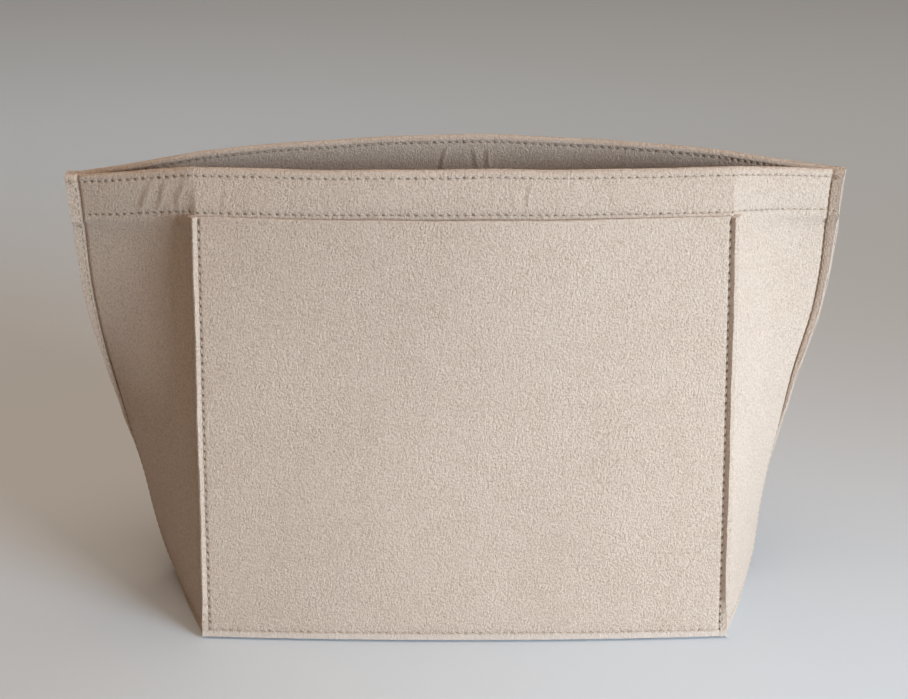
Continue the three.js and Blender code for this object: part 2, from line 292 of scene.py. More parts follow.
def settle(points):
    p = np.array(points, float)
    x, y, z = p[..., 0].copy(), p[..., 1].copy(), p[..., 2].copy()
    outer = smooth(np.abs(x), cornerX, cornerX + settled["cornerRun"])
    rise = smooth(z, -30, 50)
    inner = np.clip(1 - (x / cornerX) ** 2, 0, 1)
    away = np.clip(y / (cut["depth"] / 2), -1, 1)
    p[..., 0] = x - settled["skew"] * outer * rise
    p[..., 2] = z + settled["corner"] * np.sign(x) * outer * smooth(z, 0, 110)
    p[..., 1] = y + settled["belly"] * away * inner * (1 - smooth(z, 0, settled["bellyTop"]))
    level = x * np.abs(x) / (np.abs(x) + 8)  # no slope across the middle line, where pocket halves meet
    alongRun, upRun = settled["waveRun"]
    swell = np.sin(level / alongRun + 0.6) * np.sin(z / upRun + 0.4)
    alongRun, upRun = settled["slantRun"]
    swell += 0.7 * np.sin(level / alongRun - z / upRun + 2.1)
    p[..., 1] += settled["wave"] * np.sqrt(inner) * swell * np.abs(away) * smooth(z, 0, 60)
    longRun, shortRun = settled["rimRun"]
    ripple = np.sin(x / longRun + 1.3) + 0.6 * np.sin(x / shortRun)
    p[..., 2] += settled["rimWave"] * ripple * smooth(z, settled["rimFrom"], cut["rim"]) * inner
    return p


# faces between two chains of vertices; chains of unlike length are paired by ta and tb, which rise along them
def bridge(a, b, ta=None, tb=None):
    a, b = list(a), list(b)
    if len(a) == len(b):
        return [(a[i], b[i], b[i + 1], a[i + 1]) for i in range(len(a) - 1)]
    faces, i, j = [], 0, 0
    while i + 1 < len(a) or j + 1 < len(b):
        stepA = ta[i + 1] if i + 1 < len(a) else math.inf
        stepB = tb[j + 1] if j + 1 < len(b) else math.inf
        if stepA <= stepB:
            faces.append((a[i], b[j], a[i + 1]))
            i += 1
        else:
            faces.append((a[i], b[j], b[j + 1]))
            j += 1
    return faces


def makePiece(name, vertices, faces, material, edgeAndPaintedShade=None, sharp=40):
    mesh = bpy.data.meshes.new(name)
    mesh.from_pydata((np.asarray(vertices) * mm).tolist(), [], faces)
    work = bmesh.new()
    work.from_mesh(mesh)
    bmesh.ops.recalc_face_normals(work, faces=work.faces)
    work.to_mesh(mesh)
    work.free()
    mesh.shade_smooth()
    mesh.set_sharp_from_angle(angle=math.radians(sharp))
    # pale cut edges, partly painted highlight, and painted shade where the values are negative
    if edgeAndPaintedShade is not None:
        attribute = mesh.attributes.new("paleEdgeAndPaintedShade", "FLOAT", "POINT")
        attribute.data.foreach_set("value", np.asarray(edgeAndPaintedShade, np.float32))
    mesh.materials.append(material)
    piece = bpy.data.objects.new(name, mesh)
    bpy.context.scene.collection.objects.link(piece)
    return piece


# columns of a long wall, from the middle out to the tip of the side seam
columns = {"stitch": 4, "flat": 33 * 4, "tuck": 10, "wing": 15 * 4, "flange": 6}
creaseAt = columns["flat"] + columns["tuck"]
seamAt = creaseAt + columns["wing"]
lastAt = seamAt + columns["flange"]
# the gussets are nearly flat, a little full at the foot and a little hollow below the hem; the side seams
# stand further out the higher they are
gusset = {
    "full": 3.0,  # degrees by which the felt leaves its straight line: at the foot,
    "hollow": 10.0,  # below the hem,
    "hollowFrom": 105.0,
    "hollowFull": 195.0,
    "rim": 2.0,  # and at the rim
    "rimFrom": 200.0,
    "rimFull": 240.0,
    "handle": 0.4,
    "tuckAtRim": 0.3,  # how much of the tuck's depth is left under the rim row
    "heights": (0, 25, 50, 75, 100, 130, 165, 205, 246),  # and the side seam's reach from the middle there
    "seams": (163.0, 168.4, 171.7, 175.4, 180.5, 187.0, 193.3, 196.3, 198.0),
    "slack": {-1: 0.2, 1: -1.7},  # the right seam is drawn in at half height
    "slackAt": 134.0,
    "slackReach": 24.0,
}
seamCurve = np.polyfit(np.array(gusset["heights"]) / cut["rim"], gusset["seams"], 5)
curveSteps = 160
ridgeHeight = 3.0
# seam allowances: they lie back at the foot and stand out from there up, and lean to the front at the rim;
# their cut edge isn't quite straight, and is nicked under the hem
flange = {
    "least": 0.9,
    "back": 2.5,
    "valley": (0.3, 1.0, 0.2),  # across the seam, between the gusset and its allowance
    "nickDrop": 1.5,
    "nickReach": 1.2,
    -1: {"width": 6.2, "start": 72.0, "full": 210.0, "power": 0.9, "lean": 0.06, "valley": 1.0, "nick": 1.5},
    1: {"width": 6.8, "start": 64.0, "full": 247.0, "power": 0.75, "lean": 0.55, "valley": 0.5, "nick": 0.75},
}
bowPower = 1.5  # the walls are straight at the foot and bow more and more towards the rim
pressed = {"from": 3.0, "to": 28.0, "least": 0.15, "lip": 0.7}  # near the foot, by the base row


# distance of the flat of a wall from the side seams, x from the middle
def wallOut(wall, x, height):
    v = np.clip(np.asarray(height, float) / cut["rim"], 0, 1)
    middle = mix(cut["depth"] / 2, wall["mouth"], v)
    bow = (wall["mouth"] - wall["corner"]) * v**bowPower
    return middle - bow * np.clip(np.abs(x) / cornerX, 0, 1) ** 2


# the rim comes down from the middle to the corners, and on to the side seams
def wallDrop(wall, x, along):
    share = np.clip(np.abs(x) / cornerX, 0, 1) ** 2
    return mix(wall["drop"] * share, cut["cornerDrop"], np.asarray(along) ** 0.9) / cut["rim"]


# the tucks and pocket lips lie flat at the foot, where the base row holds them down
def standsOut(height, least=pressed["least"]):
    return mix(least, 1, smooth(height, pressed["from"], pressed["to"]))


# one level of half a wall: points, inward offsets and how far along the gusset each one is
def wallLevel(wall, side, height, ridge):
    v = min(height / cut["rim"], 1.0)
    shift = 2 * felt / root2
    easing = float(smooth(height, ridgeTop - cut["hem"] / 2, rimLine))
    foot = np.array([cornerX + gap * (root2 - 1), float(wallOut(wall, cornerX, height))])
    crease = foot + np.array([shift, -shift * mix(1, gusset["tuckAtRim"], easing)])
    doubled = float(smooth(height, hemFoot, hemEdge))
    slack = gusset["slack"][side] * math.exp(-(((height - gusset["slackAt"]) / gusset["slackReach"]) ** 2))
    seam = np.array([np.polyval(seamCurve, v) + slack, gap / 2 + mix(felt, hemThick, doubled)])
    chord = math.atan2(seam[0] - crease[0], crease[1] - seam[1])
    hollow = float(smooth(height, gusset["hollowFrom"], gusset["hollowFull"]))
    atRim = float(smooth(height, gusset["rimFrom"], gusset["rimFull"]))
    bulge = math.radians(mix(mix(gusset["full"], -gusset["hollow"], hollow), -gusset["rim"], atRim))
    leave, arrive = chord + bulge, chord - bulge
    handle = gusset["handle"] * np.linalg.norm(seam - crease)
    second = crease + handle * np.array([math.sin(leave), -math.cos(leave)])
    third = seam + handle * np.array([-math.sin(arrive), math.cos(arrive)])
    t = np.linspace(0, 1, curveSteps + 1)
    s = t[:, None]
    curve = (1 - s) ** 3 * crease + 3 * (1 - s) ** 2 * s * second
    curve = curve + 3 * (1 - s) * s**2 * third + s**3 * seam
    run = np.concatenate([[0], np.cumsum(np.linalg.norm(np.diff(curve, axis=0), axis=1))])
    even = np.linspace(0, run[-1], columns["wing"] + 1)
    wing = np.stack([np.interp(even, run, curve[:, k]) for k in (0, 1)], 1)
    along = np.interp(even, run, t)

    def inward(d):
        return np.array([d[1], -d[0]])

    def mitre(d0, d1):
        middle = (d0 + d1) / np.linalg.norm(d0 + d1)
        return inward(middle) / max(0.5, middle @ d0)

    steps = np.diff(wing, axis=0)
    steps /= np.linalg.norm(steps, axis=1)[:, None]
    tuckWay = (crease - foot) / np.linalg.norm(crease - foot)
    flatX = np.linspace(0, foot[0], columns["flat"] + 1)
    flatOff = mitre(np.array([1.0, 0.0]), tuckWay)
    creaseOff = mitre(tuckWay, steps[0])
    tuckT = np.linspace(0, 1, columns["tuck"] + 1)[1:-1, None]
    tip = np.linspace(0, 1, columns["flange"] + 1)[1:]
    points = [np.stack([flatX, wallOut(wall, flatX * cornerX / foot[0], height)], 1)]
    offsets = [np.stack([flatOff[0] * flatX / foot[0], np.full_like(flatX, -1.0)], 1)]
    if ridge:
        turn = np.pi * np.arange(1, columns["tuck"])[:, None] / columns["tuck"]
        out = np.array([1, 1]) / root2 * ridgeHeight * standsOut(height)
        points.append(mix(foot, crease, (1 - np.cos(turn)) / 2) + out * np.sin(turn))
    else:
        points.append(mix(foot, crease, tuckT))
    offsets.append(mix(flatOff, creaseOff, tuckT))
    points.append(wing)
    ways = steps[:-1] + steps[1:]
    middle = np.array([inward(way / np.linalg.norm(way)) for way in ways])
    seamOff = mitre(steps[-1], np.array([1.0, 0.0]))
    offsets.append(np.concatenate([[creaseOff], middle, [seamOff]]))
    spread = flange[side]
    up = min(1, max(0, (height - spread["start"]) / (spread["full"] - spread["start"])))
    beyond = math.hypot(flange["least"], spread["width"] * up ** spread["power"])
    points.append(np.stack([seam[0] + beyond * tip, np.full(len(tip), seam[1])], 1))
    offsets.append(np.tile([0.0, -1.0], (len(tip), 1)))
    share = np.concatenate([np.zeros(creaseAt), along, np.ones(len(tip))])
    return np.concatenate(points), np.concatenate(offsets), share


# rows up a wall: close together at the stitching, wider apart between
def rowsNear(middle, reach=1.7, count=5):
    return list(np.linspace(middle - reach, middle + reach, count))


cutRound = 0.5  # how far a cut edge is rounded off
rimRows = rowsNear(rimLine, 1.3)
plainHem = list(np.linspace(hemRow + 3, rimLine - 3, 6))
plainWall = list(np.linspace(9, hemEdge - 2 * cut["hemAllowance"], 27))
bodyRows = [cutRound] + rowsNear(cut["footRow"]) + plainWall + [hemFoot]
ridgeEnd = [ridgeTop - 0.6, ridgeTop, ridgeTop + 0.35]
outerRows = [0.0] + bodyRows + [hemEdge] + ridgeEnd + rowsNear(hemRow, 1.2) + plainHem + rimRows
hemRows = rimRows[::-1] + plainHem[::-1] + rowsNear(hemRow, 1.6)[::-1] + [hemEdge + cutRound]

# pressed folds and buckles of the hem: where each crosses the rim row, where it meets the hem row, how far it
# stands out and how wide it is
hemFolds = {
    "front": [
        (-155.0, -167.0, 0.75, 1.2),
        (-150.0, -159.0, 0.58, 1.1),
        (-141.5, -147.0, 0.45, 1.4),
        (-119.0, -126.0, 0.4, 1.6),
        (34.5, 33.0, 0.65, 1.2),
        (27.5, 26.0, 0.3, 1.4),
        (139.0, 136.0, 0.3, 1.4),
        (168.0, 171.0, 0.2, 1.8),
        (-84.0, -86.0, 0.15, 1.8),
    ],
    "back": [
        (-33.0, -39.0, 0.55, 1.6),
        (-9.0, -11.5, 1.3, 1.3),
        (7.0, 6.0, 0.8, 1.5),
        (15.0, 14.0, 0.8, 1.2),
        (91.0, 88.0, 0.4, 1.6),
        (150.0, 153.0, 0.4, 1.7),
    ],
}
# shade is how much painted shade is coloured into a needle hole
stitchDent = {"groove": 0.25, "grooveWidth": 1.0, "pit": 1.2, "pitWidth": 0.6, "shade": 0.9}


def rowDent(height, row, pits):
    off = height - row
    groove = stitchDent["groove"] * math.exp(-((off / stitchDent["grooveWidth"]) ** 2))
    return groove + stitchDent["pit"] * pits * math.exp(-((off / stitchDent["pitWidth"]) ** 2))


# needle holes, no two drawn down quite alike; how deep each is also sets its painted shade
def pitMask(wallName, side):
    mask = np.zeros(lastAt + 1)
    for start, count in ((0, columns["flat"]), (creaseAt, columns["wing"])):
        k = np.arange(count + 1)
        pull = 0.8 + 0.3 * np.sin(k * 1.7 + side) * np.sin(k * 0.61 + len(wallName))
        mask[start : start + count + 1] = np.where(k % columns["stitch"] == 0, pull, 0.0)
    return mask


# a level of half a wall put in its place, with its seam allowance turned towards the front: the layer
# on the inside of the turn ends short of the other, so that the cut edge shows
def standWall(wall, side, height, points, plan, along):
    tip = np.zeros(len(points))
    tip[seamAt:] = np.linspace(0, 1, columns["flange"] + 1)
    turned = smooth(tip, 0, 0.5)
    spread = flange[side]
    wobble = 0.3 * math.sin(height / 11 + side) + 0.2 * math.sin(height / 4.3 + 2 * side + wall["facing"])
    nicked = (height - hemEdge + flange["nickDrop"]) / flange["nickReach"]
    nick = -spread["nick"] * math.exp(-(nicked**2))
    upright = float(smooth(height, spread["start"] - 12, spread["start"] + 38))
    lean = spread["lean"] * upright
    cosine = 1 / math.hypot(1, lean)
    y = wall["facing"] * points[:, 1]
    beyond = np.where(tip > 0, points[:, 0] - points[seamAt, 0], 0)
    ragged = (wobble + nick) * mix(0.3, 1, upright)
    x = points[:, 0] + tip * ragged + turned * lean * cosine * np.clip(y, -felt, felt)
    y = y * mix(1, cosine, turned) - lean * beyond + flange["back"] * (1 - upright) * tip
    return np.stack([side * x, y, height * (1 - wallDrop(wall, plan, along))], 1)


# one row of half a wall, with its stitching, folds and cut edge unless it is out of sight
def wallRow(wallName, side, height, depth, ridge=False, inside=False, plain=False):
    wall = walls[wallName]
    points, offsets, along = wallLevel(wall, side, height, ridge)
    plan = points[:, 0].copy()
    sunk = np.zeros(len(points))
    if not plain:
        pits = pitMask(wallName, side)
        sunk += rowDent(height, rimLine, pits) + rowDent(height, hemRow, pits)
        if not inside:
            outside = np.arange(len(points)) > creaseAt
            sunk += rowDent(height, cut["footRow"], pits) * outside
        window = float(smooth(height, hemRow, hemRow + 6) * (1 - smooth(height, rimLine - 7, rimLine)))
        share = (height - hemRow) / (rimLine - hemRow)
        for top, low, stand, width in hemFolds[wallName]:
            bend = width * math.sin(4 * share + top)
            away = (side * plan - mix(low, top, share) - bend) / width
            sunk += window * stand * (0.5 * np.exp(-((away + 1.5) ** 2)) - np.exp(-(away**2)))
        sunk[seamAt:] = 0
        spread = flange[side]
        valley = float(smooth(height, spread["start"] + 20, spread["start"] + 60)) * spread["valley"]
        sunk[seamAt - 1 : seamAt + 2] += np.array(flange["valley"]) * valley
    points = points + offsets * (depth - sunk if inside else depth + sunk)[:, None]
    return standWall(wall, side, height, points, plan, along)


# how far a spot is coloured as a pale cut edge, partly a painted highlight, or, where negative, with painted
# shade: on the cut tips of the seam allowances, between their layers, and in the seam's valley
edgeShade = {"cut": 0.8, "tip": -0.1, "seam": -0.2, "seamFrom": 95.0, "seamFull": 135.0}


# half a wall, from the middle to a side seam: up the outside, over the rim, down the hem, back up
# behind it and down the inside; each row is its height, depth, whether it has the ridge, and whether
# it faces in
def makeWallHalf(wallName, hand, side):
    turns, half = 8, hemThick / 2
    slotTop = cut["rim"] - half
    bends = [math.pi * i / turns for i in range(turns + 1)]
    sections = {
        "outer": [(h, 0.0, h <= ridgeTop, False) for h in outerRows],
        "fold": [(slotTop + half * math.sin(a), half * (1 - math.cos(a)), False, False) for a in bends],
        "hem": [(h, hemThick, False, True) for h in hemRows] + [(hemEdge, hemThick - cutRound, False, True)],
        "slot": [(h, felt + gap, False, True) for h in (hemEdge, hemRow, slotTop)]
        + [(h, felt, False, True) for h in (slotTop, hemRow)],
        "inner": [(h, felt, False, True) for h in [hemEdge] + bodyRows[::-1]]
        + [(0.0, felt - cutRound, False, True)],
    }
    levels, places, spot = [], [], {}
    for part, entries in sections.items():
        spot[part] = list(range(len(levels), len(levels) + len(entries)))
        plain = part in ("slot", "inner")
        for height, depth, ridge, inside in entries:
            levels.append(wallRow(wallName, side, height, depth, ridge, inside, plain))
            places.append(height)
    grid = settle(np.array(levels))
    heights = np.array(places)
    count = grid.shape[1]
    index = np.arange(grid.shape[0] * count).reshape(grid.shape[:2])
    faces = []
    closed = np.concatenate([index, index[:1]])
    for a, b in zip(closed[:-1], closed[1:]):
        faces += [(a[k], a[k + 1], b[k + 1], b[k]) for k in range(count - 1)]
    # the middle line and the cut end at the side seam, closed level by level
    outer, fold, hem, slot, inner = (spot[part] for part in sections)
    body = len(bodyRows) + 2
    middle = len(fold) // 2
    strips = [
        (outer[:body], inner[::-1]),
        (outer[body - 1 :] + fold[:1], [inner[0]] + slot[4:2:-1]),
        (hem[::-1] + fold[-1:], slot[:3]),
    ]
    for end in (0, count - 1):
        for first, second in strips:
            faces += bridge(index[first, end], index[second, end], heights[first], heights[second])
        for k in range(len(fold) - 1):
            hub = slot[3] if k < middle else slot[2]
            faces.append((index[fold[k], end], index[fold[k + 1], end], index[hub, end]))
        faces.append((index[fold[middle], end], index[slot[2], end], index[slot[3], end]))
    edgeAndPaintedShade = np.zeros(grid.shape[:2])
    edgeAndPaintedShade[[0, -1], :] = edgeShade["cut"]
    # painted shade on the seam allowance's cut tip and along the seam's valley
    edgeAndPaintedShade[:, -1] = edgeShade["tip"]
    seamShade = smooth(heights[outer], edgeShade["seamFrom"], edgeShade["seamFull"])
    edgeAndPaintedShade[outer, seamAt] = edgeShade["seam"] * seamShade
    edgeAndPaintedShade[hem[-2] : slot[0] + 1, :] = edgeShade["cut"]
    # painted shade down the needle holes of the rim and hem rows
    pits = pitMask(wallName, side)[:seamAt]
    for k in outer + hem:
        if min(abs(heights[k] - rimLine), abs(heights[k] - hemRow)) < 0.01:
            edgeAndPaintedShade[k, :seamAt] = -stitchDent["shade"] * pits
    return makePiece(wallName + "Wall" + hand, grid.reshape(-1, 3), faces, feltMaterial, edgeAndPaintedShade.ravel())


hands = {"Left": -1, "Right": 1}
wallHalves = {(name, hand): makeWallHalf(name, hand, side) for name in walls for hand, side in hands.items()}
print("walls made:", len(wallHalves), "halves")


# a point beside the flat of a wall, stand out from its outer face
def besideWall(wallName, x, height, stand):
    wall = walls[wallName]
    x, height, stand = np.broadcast_arrays(np.asarray(x, float), height, stand)
    z = height * (1 - wallDrop(wall, x, np.zeros_like(x)))
    return np.stack([x, wall["facing"] * (wallOut(wall, x, height) + stand), z], -1)


# Pockets. The slip pockets outside turn out along the corner ridges; the patch pockets inside lie flat.
# near and far are the faces' distances out from the wall, negative inside it.
slipPocket = {
    "middle": 0.0,
    "half": cornerX,
    "low": 1.0,
    "top": pocketTop,
    "lip": cut["tuck"],
    "near": gap,
    "far": gap + felt,
    "sideRow": 1.4,
    "footRow": cut["footRow"],
}
patchPocket = {
    "low": 39.6,
    "top": 158.2,
    "lip": 0.0,
    "near": -felt - gap,
    "far": -2 * felt - gap,
    "sideRow": 3.0,
    "footRow": 42.6,
}
pockets = {
    "frontSlip": {**slipPocket, "wall": "front", "gape": 3.4},
    "backSlip": {**slipPocket, "wall": "back", "gape": 2.6},
    "innerFront": {**patchPocket, "wall": "front", "middle": 0.0, "half": 105.0, "gape": 2.2},
    "innerBackLeft": {**patchPocket, "wall": "back", "middle": -66.0, "half": 59.0, "gape": 2.0},
    "innerBackRight": {**patchPocket, "wall": "back", "middle": 66.0, "half": 59.0, "gape": 2.6},
}
pocketBodies = {
    "frontSlip": ("front_wall", "front_pocket", "front_slip_pocket"),
    "backSlip": ("back_wall", "back_pocket", "back_slip_pocket"),
    "innerFront": ("front_wall", "inner_front", "inner_front_pocket"),
    "innerBackLeft": ("back_wall", "inner_back_left", "inner_back_left_pocket"),
    "innerBackRight": ("back_wall", "inner_back_right", "inner_back_right_pocket"),
}
sidePitch = 4.2
sideStep = sidePitch / 3  # three rows of points to a stitch
gapeFrom = 0.55  # share of a pocket's height from which its mouth hangs open
squeeze = 1.1  # how far the felt is squeezed out below the base row


def facesOut(spec):
    return 1 if spec["far"] > spec["near"] else -1


def pocketGape(spec, x, height):
    share = np.clip(1 - (x / spec["half"]) ** 2, 0, 1) ** 2
    low = mix(spec["low"], spec["top"], gapeFrom)
    return spec["gape"] * share * smooth(height, low, spec["top"]) * facesOut(spec)


def sideSteps(spec):
    return int((spec["top"] - 2 - spec["footRow"]) / sideStep)


# columns of half a pocket, four to a stitch, as far as the row up its side
def footColumns(spec):
    stitch = 2 * spec["half"] / max(2, round(2 * spec["half"] / (2 * sidePitch))) / 2
    step = stitch / 4
    return step * np.arange(int((spec["half"] - spec["sideRow"] - 4) / step) + 1)


# one half of a pocket, from its middle line out to its side edge
def makePocketHalf(name, spec, side):
    mitre = felt * math.tan(math.pi / 8) if spec["lip"] else 0.0  # at the full turn of the lip
    low, top, footRow = spec["low"], spec["top"], spec["footRow"]
    rowAt = spec["half"] - spec["sideRow"]
    coarse = [low + cutRound] + rowsNear(footRow, 1.3) + list(np.linspace(footRow + 4.5, top - 9, 24))
    coarse += [top - 5, top - 2.5, top - 1.2, top - cutRound]
    fine = [low + cutRound, footRow - 1.3, footRow - 0.65]
    firstPit = len(fine)
    fine += [footRow + sideStep * k for k in range(sideSteps(spec) + 1)] + [top - cutRound]
    backRows = [top - cutRound] + list(np.linspace(top - 4, low + 4, 16)) + [low + cutRound]
    # each column is its place, its kind and how far along the lip it is
    plan = [(x, "far", 0.0) for x in footColumns(spec)]
    plan += [(rowAt + step, "side", 0.0) for step in (-2.6, -1.8, -1.2, -0.6, 0.0, 0.6)]
    if spec["lip"]:
        plan += [(spec["half"] - mitre, "bend", t) for t in (0.0, 0.25, 0.5, 0.75, 0.93, 1.0)]
    else:
        plan += [(spec["half"] - cutRound, "side", 0.0), (spec["half"], "tip", 1.0)]

    # how far down each spot is in a needle hole, of the foot row or of the row up the side, which also sets
    # the painted shade there
    def needleHoles(k, heights):
        x, kind, _ = plan[k]
        foot = np.asarray(heights) - footRow
        if kind == "far" and k % 4 == 0:
            return (0.45 + 0.2 * math.sin(1.9 * k)) * np.exp(-((foot / stitchDent["pitWidth"]) ** 2))
        if kind == "side":
            order = np.arange(len(foot)) - firstPit
            isHole = (order % 3 == 0) & (order >= 0) & (order < len(foot) - firstPit - 1)
            return isHole * math.exp(-(((x - rowAt) / stitchDent["pitWidth"]) ** 2))
        return np.zeros(len(foot))

    def faceSpots(k, heights, level):
        x, kind, t = plan[k]
        heights = np.asarray(heights, float)
        ones = np.ones(len(heights))
        xNear = x * spec["half"] / (spec["half"] - mitre)
        farSpot = np.stack([x * ones, spec["far"] * ones], 1)
        nearSpot = np.stack([xNear * ones, spec["near"] * ones], 1)
        if kind == "bend":
            turn = math.pi / 4 * standsOut(heights)
            # the lip's edge wavers a little
            lip = spec["lip"] * (1 + 0.05 * np.sin(heights / 13 + side) + 0.03 * np.sin(heights / 3.7))
            lip *= standsOut(heights, pressed["lip"])
            way = np.stack([np.cos(turn), np.sin(turn)], 1)
            nearEnd = np.array([spec["half"], spec["near"]]) + way * lip[:, None]
            farEnd = nearEnd + np.stack([-np.sin(turn), np.cos(turn)], 1) * felt
            farSpot, nearSpot = mix(farSpot, farEnd, t), mix(nearSpot, nearEnd, t)
        if t == 1:
            rounded = cutRound / felt
            farSpot, nearSpot = mix(farSpot, nearSpot, rounded), mix(nearSpot, farSpot, rounded)
        xs, stands = mix(nearSpot, farSpot, level).T
        if level == 1:
            foot = heights - footRow
            inRow = x <= rowAt + 0.1
            sunk = stitchDent["groove"] * np.exp(-((foot / stitchDent["grooveWidth"]) ** 2)) * inRow
            sunk += stitchDent["pit"] * needleHoles(k, heights)
            if kind != "bend" or t == 0:
                groove = math.exp(-(((x - rowAt) / stitchDent["grooveWidth"]) ** 2))
                sunk += stitchDent["groove"] * groove * (foot > 0)
            stands -= facesOut(spec) * sunk
        stands += pocketGape(spec, x, heights)
        if spec["lip"]:
            stands += squeeze * (1 - smooth(heights, low, footRow - 0.3)) * (0.4 + 0.6 * level)
        return besideWall(spec["wall"], spec["middle"] + side * xs, heights, stands)

    vertices, loops, edgesAndPaintedShade = [], [], []
    rounding = cutRound / felt
    for k, (x, kind, t) in enumerate(plan):
        front = coarse if kind == "far" else fine
        parts = [
            (front, 1.0, 0.0),
            # the mouth's top edge is coloured as a pale cut edge at full strength: a painted highlight
            ([top], 1 - rounding, 1.0),
            ([top], rounding, 1.0),
            (backRows, 0.0, 0.0),
            ([low], rounding, edgeShade["cut"]),
            ([low], 1 - rounding, edgeShade["cut"]),
        ]
        loop = []
        for heights, level, edgeAndPaintedShade in parts:
            spots = faceSpots(k, heights, level)
            loop.append(list(range(len(vertices), len(vertices) + len(spots))))
            vertices.extend(spots)
            # below the base row a lip pocket is coloured pale, a painted highlight on the squeezed-out strip;
            # at the lip's tip painted shade between its layers
            below = edgeShade["cut"] * (np.asarray(heights) < footRow - 1) * bool(spec["lip"])
            shade = below + edgeShade["tip"] if t == 1 and spec["lip"] else np.maximum(below, edgeAndPaintedShade)
            # painted shade down the needle holes
            edgesAndPaintedShade.extend(shade - stitchDent["shade"] * needleHoles(k, heights) if level == 1 else shade)
        rest = loop[0][-1:] + sum(loop[1:], []) + loop[0][:1]
        loops.append({"front": loop[0], "heights": front, "rest": rest})
    faces = []
    for a, b in zip(loops[:-1], loops[1:]):
        faces += bridge(a["front"], b["front"], a["heights"], b["heights"])
        faces += bridge(a["rest"], b["rest"])
    for end in (loops[0], loops[-1]):
        rest = end["rest"]
        faces += bridge(end["front"], rest[3:-3][::-1], end["heights"], backRows[::-1])
        faces += [tuple(rest[:4]), tuple(rest[-4:])]
    return makePiece(name, settle(np.array(vertices)), faces, feltMaterial, edgesAndPaintedShade)


pocketHalves = {}
for pocketName, spec in pockets.items():
    for hand, side in hands.items():
        pocketHalves[pocketName, hand] = makePocketHalf(pocketName + "Pocket" + hand, spec, side)
print("pockets made")

# base: a felt sheet with its edge turned down inside the feet of the walls
basePanel = {"sag": 1.6, "rows": 24, "notch": 0.28}


def makeBase():
    picks = list(range(0, columns["flat"], 12)) + [columns["flat"]] + list(range(creaseAt, seamAt - 3, 4))

    def outline(wallName, inset, height):
        lines = []
        for level in (0.0, height):
            points, offsets, along = wallLevel(walls[wallName], 1, level, False)
            lines.append((points + offsets * (felt + gap + inset))[picks])
        rightHalf = np.minimum(*lines)
        return np.concatenate([rightHalf[:0:-1] * [-1, 1], rightHalf])

    def sheet(inset, height, sag):
        front, back = (outline(name, inset, height) * [1, wall["facing"]] for name, wall in walls.items())
        t = np.linspace(0, 1, basePanel["rows"] + 1)[:, None, None]
        flat = mix(front[None], back[None], t)
        # the ends draw in at the side seams
        points, offsets, along = wallLevel(walls["front"], 1, 0.0, False)
        seam = (points + offsets * (felt + gap + inset))[seamAt][0]
        notch = seam + basePanel["notch"] * np.abs(flat[..., 1])
        flat[..., 0] = np.clip(flat[..., 0], -notch, notch)
        x, y = flat[..., 0], flat[..., 1]
        hollow = sag * np.clip(1 - (x / 150) ** 2, 0, 1) * np.clip(1 - (y / 68) ** 2, 0, 1)
        return np.concatenate([flat, (height - hollow)[..., None]], 2)

    def rim(index):
        return list(index[0]) + list(index[1:, -1]) + list(index[-1, -2::-1]) + list(index[-2:0:-1, 0])

    grids = [sheet(0, cut["baseLift"] + felt, basePanel["sag"]), sheet(0, 0, 0)]
    grids += [sheet(felt, 0, 0), sheet(felt, cut["baseLift"], basePanel["sag"])]
    shape = grids[0].shape[:2]
    index = np.arange(shape[0] * shape[1]).reshape(shape)
    ring = rim(index)
    top, low = grids[0].reshape(-1, 3), grids[3].reshape(-1, 3)
    skirts = [grids[k].reshape(-1, 3)[ring] for k in (1, 2)]
    vertices = np.concatenate([top, low, *skirts])
    faces = []
    for shift in (0, len(top)):
        for a, b in zip(index[:-1] + shift, index[1:] + shift):
            faces += [(a[k], a[k + 1], b[k + 1], b[k]) for k in range(shape[1] - 1)]
    start, around = 2 * len(top), len(ring)
    chains = [ring, list(range(start, start + around)), list(range(start + around, start + 2 * around))]
    chains.append([k + len(top) for k in ring])
    for a, b in zip(chains[:-1], chains[1:]):
        faces += bridge(a + a[:1], b + b[:1])
    edgeAndPaintedShade = np.zeros(len(vertices))
    edgeAndPaintedShade[start:] = edgeShade["cut"]
    return makePiece("baseSheet", settle(vertices), faces, feltMaterial, edgeAndPaintedShade)


baseSheet = makeBase()
print("base made")

# lockstitch: each stitch comes up out of one needle hole and goes down into the next
lockStitch = {
    "radius": 0.28,
    "rings": 7,
    "sides": 6,
    "dip": 1.3,
    "crown": -0.05,
    "inset": 0.1,
    "proud": 0.35,  # on the seam allowances, which aren't drawn in by their stitches
}


def sewRow(name, spots, outward, replaced=()):
    spots, outward = np.array(spots), np.array(outward)
    t = np.linspace(0, 1, lockStitch["rings"])
    lift = mix(-lockStitch["dip"], lockStitch["crown"], np.sin(np.pi * t) ** 0.5)
    along = mix(lockStitch["inset"], 1 - lockStitch["inset"], t)
    sides = lockStitch["sides"]
    vertices, faces = [], []
    for a, b, na, nb in zip(spots[:-1], spots[1:], outward[:-1], outward[1:]):
        up = (na + nb) / np.linalg.norm(na + nb)
        path = a + (b - a) * along[:, None] + up * lift[:, None]
        way = np.gradient(path, axis=0)
        way /= np.linalg.norm(way, axis=1)[:, None]
        across = np.cross(way, up)
        across /= np.linalg.norm(across, axis=1)[:, None]
        top = np.cross(across, way)
        start = len(vertices)
        for k in range(len(t)):
            for turn in range(sides):
                angle = 2 * math.pi * turn / sides
                spoke = top[k] * math.cos(angle) + across[k] * math.sin(angle)
                vertices.append(path[k] + spoke * lockStitch["radius"])
        for k in range(len(t) - 1):
            ringA = [start + k * sides + m for m in range(sides)]
            ringB = [m + sides for m in ringA]
            faces += bridge(ringA + ringA[:1], ringB + ringB[:1])
        faces.append(tuple(start + m for m in range(sides)))
        faces.append(tuple(start + (len(t) - 1) * sides + m for m in range(sides)))
    piece = makePiece(name, vertices, faces, threadMaterial, sharp=80)
    if replaced:
        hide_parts(*replaced)
    return piece


